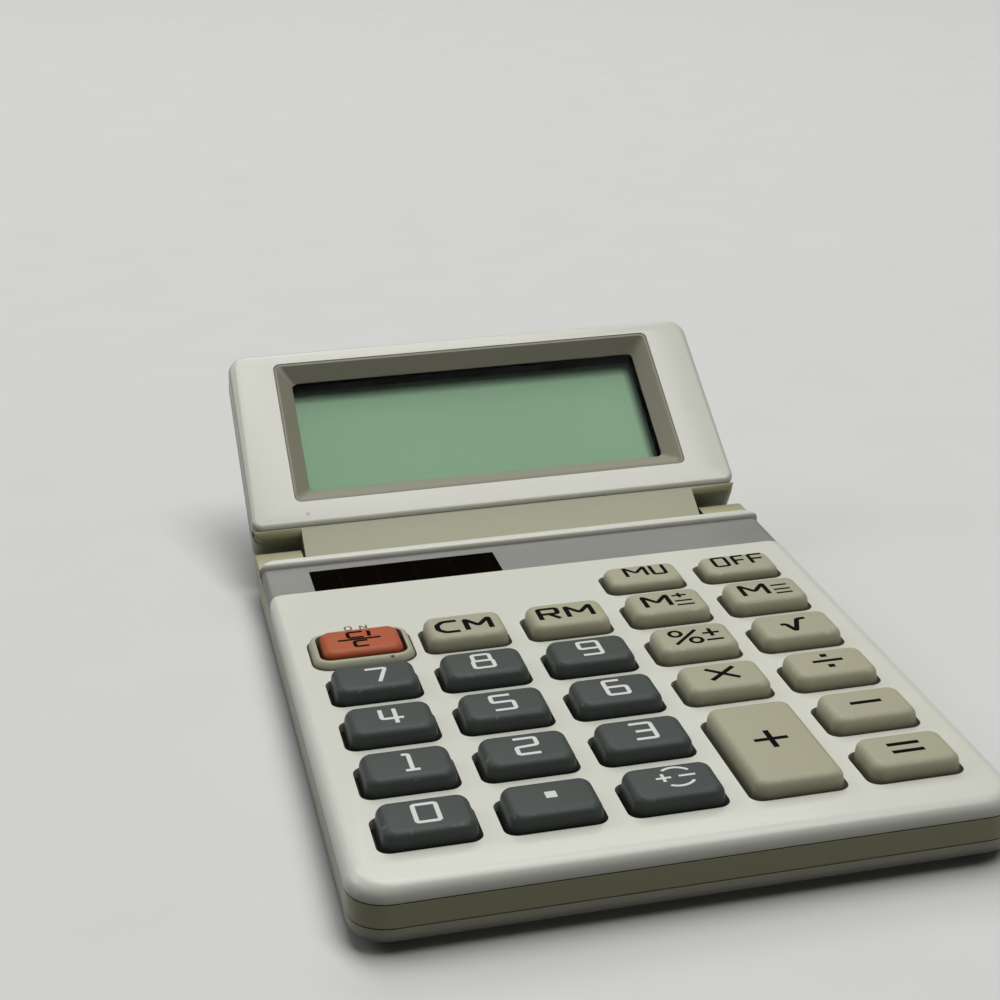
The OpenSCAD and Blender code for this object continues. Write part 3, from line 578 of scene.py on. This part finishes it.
# %% Finishes of the solids
FINISH = {
    "top_cover": IVORY, "display_cover": IVORY, "case_frame": LIT_FRAME_BEIGE, "display_back": BEIGE,
    "bottom_cover": LIT_BASE_BEIGE, "info_strip": STRIP, "solar_cell": SOLAR, "solar_leads": SLEEVE,
    "clear_key_guard": GUARD, "key_mat": MAT, "main_board": BOARD, "controller_chip": CHIP,
    "button_cell": STEEL, "cell_clip": STEEL, "case_screws": STEEL, "board_screws": STEEL,
    "rubber_feet": RUBBER, "hinge_pin": STEEL, "hinge_tube": STEEL, "display_lead": SLEEVE,
    "window_bezel": TAUPE, "display_window": WINDOW, "lcd_panel": PANEL, "lcd_connector": MAT,
    "lcd_gasket": GASKET, "display_board": BOARD, "lcd_lead": SLEEVE, "display_screws": STEEL,
}
for name, node in NODES.items():
    node.data.materials.clear()
    node.data.materials.append(FINISH.get(name, KEY_BEIGE))
print("solids with a finish of their own:", len(FINISH))

# %% [markdown]
# The shells have the right shape already, but their edges are knife sharp, and real moulded edges never
# are. They could be modelled again, but a copy keeps every measure: it is merged into one mesh, its sharp
# edges get a small bevel, and it stands for the solid.
# Where two shells meet, the two bevels leave the fine groove that reads as a seam. The keys stand a little
# right of the middle of their openings, so a dark gap shows at their left.

# %% Soft-edged shells
MERGE = 0.002 * MM
SLIVER = 0.0005 * MM
SHARP_ANGLE = 40
SMOOTH_ANGLE = 38
MITRE_WIDTH = 0.8 * MM


def copy_of(node, name):
    # A loose copy of a solid, merged into one mesh and left open for editing with all selected
    pick_only(NODES[node])
    bpy.ops.object.duplicate()
    piece = bpy.context.object
    piece.name = name
    piece.parent = None
    for key in [k for k in piece.keys() if k.startswith("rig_")]:
        del piece[key]
    edit(piece)
    bpy.ops.mesh.select_all(action="SELECT")
    bpy.ops.mesh.remove_doubles(threshold=MERGE)
    bpy.ops.mesh.select_all(action="SELECT")
    return piece


def soft_copy(node, body, width, segments=2, first=None):
    piece = copy_of(node, node + "_shell")
    bpy.ops.mesh.dissolve_limited(angle_limit=math.radians(0.6))
    if first:
        first(piece)
    done()
    smooth(piece, SMOOTH_ANGLE)
    edge = piece.modifiers.new("edges", "BEVEL")
    edge.width = width * MM
    edge.segments = segments
    edge.limit_method = "ANGLE"
    edge.angle_limit = math.radians(SHARP_ANGLE)
    apply_all(piece)
    edit(piece)
    bpy.ops.mesh.select_all(action="SELECT")
    bpy.ops.mesh.dissolve_degenerate(threshold=SLIVER)
    done()
    smooth(piece, SMOOTH_ANGLE)
    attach(piece, body)
    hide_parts(node)
    print(piece.name, len(piece.data.polygons), "faces")


def soften_mitres(piece):
    # The four slanting edges where the slopes of the window frame meet
    def mitre(edge):
        run = edge.verts[1].co - edge.verts[0].co
        return 2 * MM < abs(run.x) < 4 * MM and 3.4 * MM < run.length < 7 * MM

    pick_edges(piece, mitre)
    bpy.ops.mesh.bevel(offset=MITRE_WIDTH, segments=4, profile=0.5)


OPENING_SHIFT = 0.3 * MM
OPENING_LEFT = 4 * MM


def widen_openings(piece):
    # The left end of each key's opening moves a little further left
    keys = [name for name in NODES if name.startswith("key_")]
    boxes = [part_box(name) for name in keys if name not in ("key_mat", "key_clear")]

    def left_end(corner):
        return any(low.x < corner.co.x < low.x + OPENING_LEFT and low.y < corner.co.y < high.y
                   for low, high in boxes)

    pick_edges(piece, lambda edge: left_end(edge.verts[0]) and left_end(edge.verts[1]))
    print("openings widened:", len(boxes))
    bpy.ops.transform.translate(value=(-OPENING_SHIFT, 0, 0))


soft_copy("top_cover", "base", 0.28, 3, widen_openings)
soft_copy("case_frame", "base", 0.2)
soft_copy("bottom_cover", "base", 0.16)
soft_copy("display_cover", "display", 0.2, 3)
soft_copy("display_back", "display", 0.25)
soft_copy("window_bezel", "display", 0.12, 2, soften_mitres)
soft_copy("clear_key_guard", "base", 0.15)
soft_copy("info_strip", "base", 0.05)

# %% [markdown]
# A key is a small hollow block with rounded corners, sides that lean in and a soft top edge. A rim holds it
# under the plate, and a stem inside presses the rubber dome. One block is shaped step by step: corners
# bevelled, the top drawn in and rounded, then the rim, the hollow and the stem pulled out of the underside.
# The tall key, the lower keys of the back row and the clear key repeat the same steps at their own sizes.

# %% Key caps
KEY_RIM = 0.8 * MM
KEY_SIDE = 1.1 * MM
KEY_WALL = 1.5 * MM
LEAN_SIDE = 0.5 * MM
LEAN_FRONT = 0.22 * MM
LEAN_BACK = 0.06 * MM
KEY_CORNER = 1.95 * MM
KEY_SOFT = 1.15 * MM
KEY_ROOF = 1.4 * MM
KEY_STEM = 3 * MM


def pull(z):
    bpy.ops.mesh.extrude_region_move(TRANSFORM_OT_translate={"value": (0, 0, z)})


def draw_in(old, new):
    # A new ring of faces in the plane of the selected face, from one size to another
    bpy.ops.mesh.extrude_region_move()
    bpy.ops.transform.resize(value=(new[0] / old[0], new[1] / old[1], 1))


def key_block(name, width, depth, low, top):
    bpy.ops.object.select_all(action="DESELECT")
    bpy.ops.mesh.primitive_cube_add(size=1, location=(0, 0, 0))
    cap = bpy.context.object
    cap.name = name
    waist = low + KEY_RIM
    edit(cap)
    bpy.ops.mesh.select_all(action="SELECT")
    bpy.ops.transform.resize(value=(width, depth, top - waist))
    bpy.ops.transform.translate(value=(0, 0, (top + waist) / 2))
    pick_edges(cap, lambda e: abs(e.verts[0].co.z - e.verts[1].co.z) > 0.5 * (top - waist))
    bpy.ops.mesh.bevel(offset=KEY_CORNER, segments=7, profile=0.5)
    pick_faces(cap, lambda f: f.normal.z > 0.9)
    inner = depth - LEAN_FRONT - LEAN_BACK
    bpy.ops.transform.resize(value=((width - 2 * LEAN_SIDE) / width, inner / depth, 1))
    bpy.ops.transform.translate(value=(0, (LEAN_FRONT - LEAN_BACK) / 2, 0))
    pick_edges(cap, lambda e: min(v.co.z for v in e.verts) > top - 0.01 * MM)
    bpy.ops.mesh.bevel(offset=KEY_SOFT, segments=6, profile=0.5)
    pick_faces(cap, lambda f: f.normal.z < -0.9)
    rim = (width + 2 * KEY_SIDE, depth + 2 * KEY_SIDE)
    hollow = (width - 2 * KEY_WALL, depth - 2 * KEY_WALL)
    draw_in((width, depth), rim)
    pull(-KEY_RIM)
    draw_in(rim, hollow)
    pull(top - low - KEY_ROOF)
    draw_in(hollow, (KEY_STEM, KEY_STEM))
    pull(low + KEY_ROOF - top)
    done()
    smooth(cap, 40)
    return cap


def middle(node):
    low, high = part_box(node)
    return (high.x + low.x) / 2, (high.y + low.y) / 2


def block_for(node):
    low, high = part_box(node)
    width, depth = high.x - low.x - 2 * KEY_SIDE, high.y - low.y - 2 * KEY_SIDE
    return key_block(node + "_block", width, depth, low.z, high.z)


BLOCKS = {"plain": block_for("key_5"), "tall": block_for("key_plus"), "back": block_for("key_off"),
          "clear": block_for("key_clear")}
print("key blocks:", {kind: len(block.data.polygons) for kind, block in BLOCKS.items()})

# %% [markdown]
# The marks on the keys are inlaid strokes of even width with small rounded turns.
# Each mark is a list of strokes on a box one wide and one high. A stroke becomes a curve with a round
# section, then a mesh, and is pressed flat so that it stands only a hair above the key. A text object
# would be quicker, but Blender's own font has other shapes.

# %% Strokes of the marks
BOX = [(0, 0), (1, 0), (1, 1), (0, 1), (0, 0)]
STROKES = {
    "0": [BOX],
    "1": [[(0.1, 1), (0.5, 1), (0.5, 0)], [(0.08, 0), (0.95, 0)]],
    "2": [[(0, 1), (1, 1), (1, 0.52), (0, 0.46), (0, 0), (1, 0)]],
    "3": [[(0, 1), (1, 1), (1, 0), (0, 0)], [(0.15, 0.5), (1, 0.5)]],
    "4": [[(0, 1), (0, 0.36), (1.02, 0.36)], [(0.66, 1), (0.66, 0)]],
    "5": [[(0.95, 1), (0, 1), (0, 0.54), (1, 0.54), (1, 0), (0, 0)]],
    "6": [[(0.8, 1), (0, 1), (0, 0), (1, 0), (1, 0.54), (0, 0.54)]],
    "7": [[(0, 1), (1, 1), (0.55, 0)]],
    "8": [[(0.07, 0.53), (0.07, 1), (0.93, 1), (0.93, 0.53)], [(0, 0), (1, 0), (1, 0.53), (0, 0.53), (0, 0)]],
    "9": [[(1, 0.48), (0, 0.48), (0, 1), (1, 1), (1, 0), (0, 0)]],
    "+": [[(0, 0.5), (1, 0.5)], [(0.5, 0), (0.5, 1)]],
    "x": [[(0.03, 0.05), (0.97, 0.95)], [(0.03, 0.95), (0.97, 0.05)]],
    "C": [[(1, 1), (0.32, 1), (0, 0.72), (0, 0.28), (0.32, 0), (1, 0)]],
    "[": [[(1, 1), (0, 1), (0, 0), (1, 0)]],
    "M": [[(0, 0), (0, 1), (0.5, 0.36), (1, 1), (1, 0)]],
    "U": [[(0, 1), (0, 0), (1, 0), (1, 1)]],
    "R": [[(0, 0), (0, 1), (1, 1), (1, 0.5), (0, 0.5)], [(0.5, 0.5), (1, 0)]],
    "O": [BOX],
    "F": [[(0, 0), (0, 1), (1, 1)], [(0, 0.52), (0.85, 0.52)]],
    "N": [[(0, 0), (0, 1), (1, 0), (1, 1)]],
}


def arc(cx, cy, rx, ry, start, stop, steps=12):
    return [(cx + rx * math.cos(math.radians(start + (stop - start) * i / steps)),
             cy + ry * math.sin(math.radians(start + (stop - start) * i / steps))) for i in range(steps + 1)]


def rounded(points, radius, closed):
    # Each turn of a stroke is replaced by a short arc of points
    out = []
    count = len(points)
    for i, here in enumerate(points):
        if not closed and i in (0, count - 1):
            out.append(here)
            continue
        before, after = points[i - 1], points[(i + 1) % count]
        here, before, after = Vector(here), Vector(before), Vector(after)
        reach = min(radius, (before - here).length / 2, (after - here).length / 2)
        a = here + (before - here).normalized() * reach
        b = here + (after - here).normalized() * reach
        for k in range(5):
            t = k / 4
            out.append(tuple((1 - t) ** 2 * a + 2 * t * (1 - t) * here + t * t * b))
    return out


def stroke_mesh(strokes, width, rise, turn=0.45):
    # strokes: lists of points in millimetres; the result lies at z = 0, at the origin
    data = bpy.data.curves.new("stroke", "CURVE")
    data.dimensions = "3D"
    data.bevel_depth = width / 2 * MM
    data.bevel_resolution = 2
    data.use_fill_caps = True
    for points in strokes:
        closed = points[0] == points[-1]
        path = rounded(points[:-1] if closed else points, turn, closed)
        spline = data.splines.new("POLY")
        spline.points.add(len(path) - 1)
        for point, (x, y) in zip(spline.points, path):
            point.co = (x * MM, y * MM, 0, 1)
        spline.use_cyclic_u = closed
    obj = bpy.data.objects.new("mark", data)
    bpy.context.scene.collection.objects.link(obj)
    pick_only(obj)
    bpy.ops.object.convert(target="MESH")
    obj = bpy.context.object
    obj.scale = (1, 1, rise / (width / 2))
    settle(obj)
    return obj


def fit(sign, left, right, low, high, width):
    # The sign's box, given by its outer edges; the stroke's middle runs half a width inside
    x0, y0, w, h = left + width / 2, low + width / 2, right - left - width, high - low - width
    return [[(x0 + x * w, y0 + y * h) for x, y in stroke] for stroke in STROKES[sign]]


# %% [markdown]
# Now each key's mark is laid out in millimetres about the middle of its top, by its outer edges.
# Digits are white on dark keys; functions are black on beige ones. Printed marks never sit quite
# in the middle, and the small offsets here follow the photograph.

# %% Mark of each key
DIGIT_STROKE = 0.68


def bar(left, right, y):
    return [[(left, y), (right, y)]]


def digit(sign, cx, cy, w=4.0, h=5.45):
    box = (cx - w / 2, cx + w / 2, cy - h / 2, cy + h / 2)
    return [(fit(sign, *box, DIGIT_STROKE), DIGIT_STROKE)]


MARKS = {
    "key_7": digit("7", 0.3, -0.27), "key_8": digit("8", -0.15, 0.23), "key_9": digit("9", 0.0, 0.23),
    "key_4": digit("4", 0.3, 0.03), "key_5": digit("5", -0.2, -0.02), "key_6": digit("6", 0.2, 0.28),
    "key_1": digit("1", 0.45, 0.03, 3.15), "key_2": digit("2", 0.1, 0.23), "key_3": digit("3", 0.1, 0.18),
    "key_0": digit("0", 0.05, 0.18),
    "key_point": [(bar(-0.78, 0.88, 0.43), 1.75)],
    "key_sign": [(fit("+", -2.63, 0.13, -0.75, 2.0, 0.5) + bar(1.05, 3.55, 0.73), 0.5),
                 ([arc(0.75, 0.63, 2.65, 2.65, 130, 35), arc(0.75, 0.63, 2.65, 2.65, 235, 325)], 0.5)],
    "key_plus": [(fit("+", -3.4, 2.8, -2.85, 3.35, 0.9), 0.9)],
    "key_minus": [(bar(-2.7, 2.4, 0.13), 0.92)],
    "key_equals": [(bar(-2.7, 2.3, 1.28) + bar(-2.7, 2.3, -0.92), 0.92)],
    "key_times": [(fit("x", -3.0, 2.85, -2.2, 3.05, 0.85), 0.85)],
    "key_divide": [(bar(-2.8, 2.3, 0.28), 0.85), (bar(-0.85, 0.25, 2.18) + bar(-0.85, 0.25, -1.62), 1.1)],
    "key_root": [([[(-2.7, 0.13), (-1.8, 0.23), (-0.85, -2.6), (0.75, 1.75), (2.2, 1.85)]], 0.88)],
    "key_percent": [([arc(-2.9, 1.48, 1.0, 1.1, 0, 360), arc(-0.1, -1.62, 1.0, 1.05, 0, 360),
                      [(-3.8, -2.52), (0.8, 2.28)]], 0.68),
                    (bar(1.6, 4.5, 0.58) + [[(3.05, -0.82), (3.05, 2.18)]] + bar(1.6, 4.5, -2.07), 0.68)],
    "key_memory_plus": [(fit("M", -4.45, 0.7, -2.42, 2.83, 0.85), 0.85),
                        (bar(1.3, 3.9, 1.68) + [[(2.6, 0.78), (2.6, 2.58)]], 0.6),
                        (bar(1.2, 4.3, -0.62) + bar(1.2, 4.3, -2.27), 0.6)],
    "key_memory_equals": [(fit("M", -4.6, 0.6, -2.42, 2.83, 0.85), 0.85),
                          (bar(1.4, 4.35, 1.2) + bar(1.4, 4.35, -0.6) + bar(1.4, 4.35, -2.12), 0.6)],
    "key_markup": [(fit("M", -3.45, 0.95, -1.4, 3.15, 0.7) + fit("U", 1.5, 4.45, -1.4, 3.15, 0.7), 0.7)],
    "key_off": [(fit("O", -4.6, -1.45, -1.4, 3.15, 0.7) + fit("F", -0.7, 2.15, -1.4, 3.15, 0.7)
                 + fit("F", 2.45, 5.75, -1.4, 3.15, 0.7), 0.7)],
    "key_clear_memory": [(fit("C", -5.3, -0.8, -2.82, 2.33, 0.95)
                          + fit("M", -0.3, 4.75, -2.82, 2.33, 0.95), 0.95)],
    "key_recall_memory": [(fit("R", -5.3, -1.2, -2.42, 2.68, 0.88)
                           + fit("M", -0.4, 4.7, -2.42, 2.68, 0.88), 0.88)],
    "key_clear": [(fit("[", -2.3, 0.95, 0.4, 3.2, 0.66) + [[(1.6, 0.75), (1.6, 2.9)]], 0.66),
                  (fit("[", -1.55, 1.35, -3.2, -0.4, 0.66) + bar(-3.9, 3.4, 0.0), 0.66)],
}
DARK_KEYS = {"key_%d" % n for n in range(10)} | {"key_point", "key_sign"}
print("marks:", len(MARKS))

# %% [markdown]
# Each key is a copy of its block with its own mesh, moved over its solid and joined with its mark,
# so that cap and mark travel together when the key is pressed. Modelling 26 caps one by one would
# only bring small differences that the real keys don't have.

# %% Keys with marks
MARK_RISE = 0.03
KIND = {"key_plus": "tall", "key_off": "back", "key_markup": "back", "key_clear": "clear"}


def laid_mark(strokes, width, ink, x, y, z):
    mark = stroke_mesh(strokes, width, MARK_RISE)
    mark.data.materials.append(ink)
    mark.location = (x, y, z)
    settle(mark)
    smooth(mark, 60)
    return mark


def finished_key(node):
    block = BLOCKS[KIND.get(node, "plain")]
    plastic, ink, slot = KEY_BEIGE, INK_BLACK, "key_beige"
    if node in DARK_KEYS:
        plastic, ink, slot = KEY_DARK, INK_WHITE, "key_dark"
    elif node == "key_clear":
        plastic, slot = KEY_ORANGE, "key_orange"
    x, y = middle(node)
    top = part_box(node)[1].z
    cap = block.copy()
    cap.data = block.data.copy()
    cap.name = node + "_cap"
    bpy.context.scene.collection.objects.link(cap)
    cap.location = (x, y, 0)
    settle(cap)
    cap.data.materials.clear()
    cap.data.materials.append(plastic)
    marks = [laid_mark(strokes, width, ink, x, y, top) for strokes, width in MARKS[node]]
    pick_only(cap)
    for mark in marks:
        mark.select_set(True)
    bpy.ops.object.join()
    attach(cap, node + "_body")
    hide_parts(node)


for node in sorted(MARKS):
    finished_key(node)
for block in BLOCKS.values():
    bpy.data.objects.remove(block)
print("keys finished:", len(MARKS))

# %% [markdown]
# Under the keys lies one rubber mat. On it stands a small hollow dome below every key, which pushes the key
# up again. A dome gives way when its key is pressed, which a rigid mat can't show. So each dome is a piece
# of its own. One dome is shaped from a cone, hollowed from below and copied.

# %% Rubber domes
DOME_RISE = 1.4 * MM
DOME_FOOT = 3.4 * MM
DOME_TOP = 2.2 * MM
DOME_HOLLOW = 1.8 * MM
DOME_WALL = 0.6 * MM
DOME_SOFT = 0.3 * MM


def rubber_dome(low):
    bpy.ops.object.select_all(action="DESELECT")
    bpy.ops.mesh.primitive_cone_add(vertices=40, radius1=DOME_FOOT, radius2=DOME_TOP, depth=DOME_RISE)
    dome = bpy.context.object
    edit(dome)
    bpy.ops.mesh.select_all(action="SELECT")
    bpy.ops.transform.translate(value=(0, 0, low + DOME_RISE / 2))
    pick_edges(dome, lambda e: min(v.co.z for v in e.verts) > low + 0.99 * DOME_RISE)
    bpy.ops.mesh.bevel(offset=DOME_SOFT, segments=3, profile=0.5)
    pick_faces(dome, lambda f: f.normal.z < -0.9)
    draw_in((DOME_FOOT, DOME_FOOT), (DOME_HOLLOW, DOME_HOLLOW))
    pull(DOME_RISE - DOME_WALL)
    done()
    smooth(dome, 40)
    dome.data.materials.append(MAT)
    return dome


dome_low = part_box("key_5")[0].z - DOME_RISE
dome_block = rubber_dome(dome_low)
for node in sorted(MARKS):
    x, y = middle(node)
    dome = dome_block.copy()
    dome.data = dome_block.data.copy()
    dome.name = node.replace("key_", "dome_")
    bpy.context.scene.collection.objects.link(dome)
    dome.location = (x, y, 0)
    settle(dome)
    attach(dome, "base")
    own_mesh(dome)
bpy.data.objects.remove(dome_block)
print("domes:", len(MARKS))

# %% [markdown]
# The mat's solid has domes of its own, which the new ones stand for. Its copy is trimmed by a box that ends
# just below them. A bisect could cut it too, but a Boolean closes the cut more surely.

# %% Key mat
TRIM_GAP = 0.02 * MM
TRIM_SIZE = (0.2, 0.3, 2 * MM)
sheet = copy_of("key_mat", "key_mat_sheet")
done()
bpy.ops.mesh.primitive_cube_add(size=1, location=(0, 0, dome_low - TRIM_GAP - TRIM_SIZE[2] / 2))
keep_box = bpy.context.object
keep_box.scale = TRIM_SIZE
settle(keep_box)
trim = sheet.modifiers.new("below the domes", "BOOLEAN")
trim.operation = "INTERSECT"
trim.solver = "EXACT"
trim.object = keep_box
apply_all(sheet)
bpy.data.objects.remove(keep_box)
smooth(sheet, SMOOTH_ANGLE)
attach(sheet, "base")
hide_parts("key_mat")
print("mat:", len(sheet.data.polygons), "faces")

# %% [markdown]
# The only print on the cover is the small word behind the clear key, which also turns the calculator on.
# It is made of strokes, as the marks on the keys are.

# %% Word behind the clear key
GUARD_RISE = 1.2 * MM
WORD_STROKE = 0.3
WORD_PLACE = (-36.9 * MM, 20.0 * MM)
ring_low, ring_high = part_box("clear_key_guard")
plate = ring_high.z - GUARD_RISE
letters = fit("O", -0.75, 0.65, -0.9, 0.9, WORD_STROKE) + fit("N", 1.9, 3.3, -0.95, 0.85, WORD_STROKE)
on_word = laid_mark(letters, WORD_STROKE, INK_BROWN, *WORD_PLACE, plate)
on_word.name = "on_word"
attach(on_word, "base")
print("word at", round(plate / MM, 2), "mm")

# %% [markdown]
# The guard round the clear key is a part of its own, so a fine joint runs round its foot. The gap is very
# thin and lies in shade, so a flat dark stroke along the guard's outline paints that shade.

# %% Painted shade in the guard's joint
RING_CORNER = 2.9
JOINT_STROKE = 0.5
ring_x, ring_y = middle("clear_key_guard")
out_x = (ring_high.x - ring_x) / MM - RING_CORNER
out_y = (ring_high.y - ring_y) / MM - RING_CORNER
outline = []
for quarter, (sx, sy) in enumerate([(1, 1), (-1, 1), (-1, -1), (1, -1)]):
    start = 90 * quarter
    outline += arc(sx * out_x, sy * out_y, RING_CORNER, RING_CORNER, start, start + 90, 6)
# Painted shade: a dark stroke round the guard's foot, for the shade in its thin gap
gap_shade = laid_mark([outline + outline[:1]], JOINT_STROKE, GAP_SHADE, ring_x, ring_y, plate)
gap_shade.name = "guard_gap_shade"
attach(gap_shade, "base")
print("joint gap shade points:", len(outline))
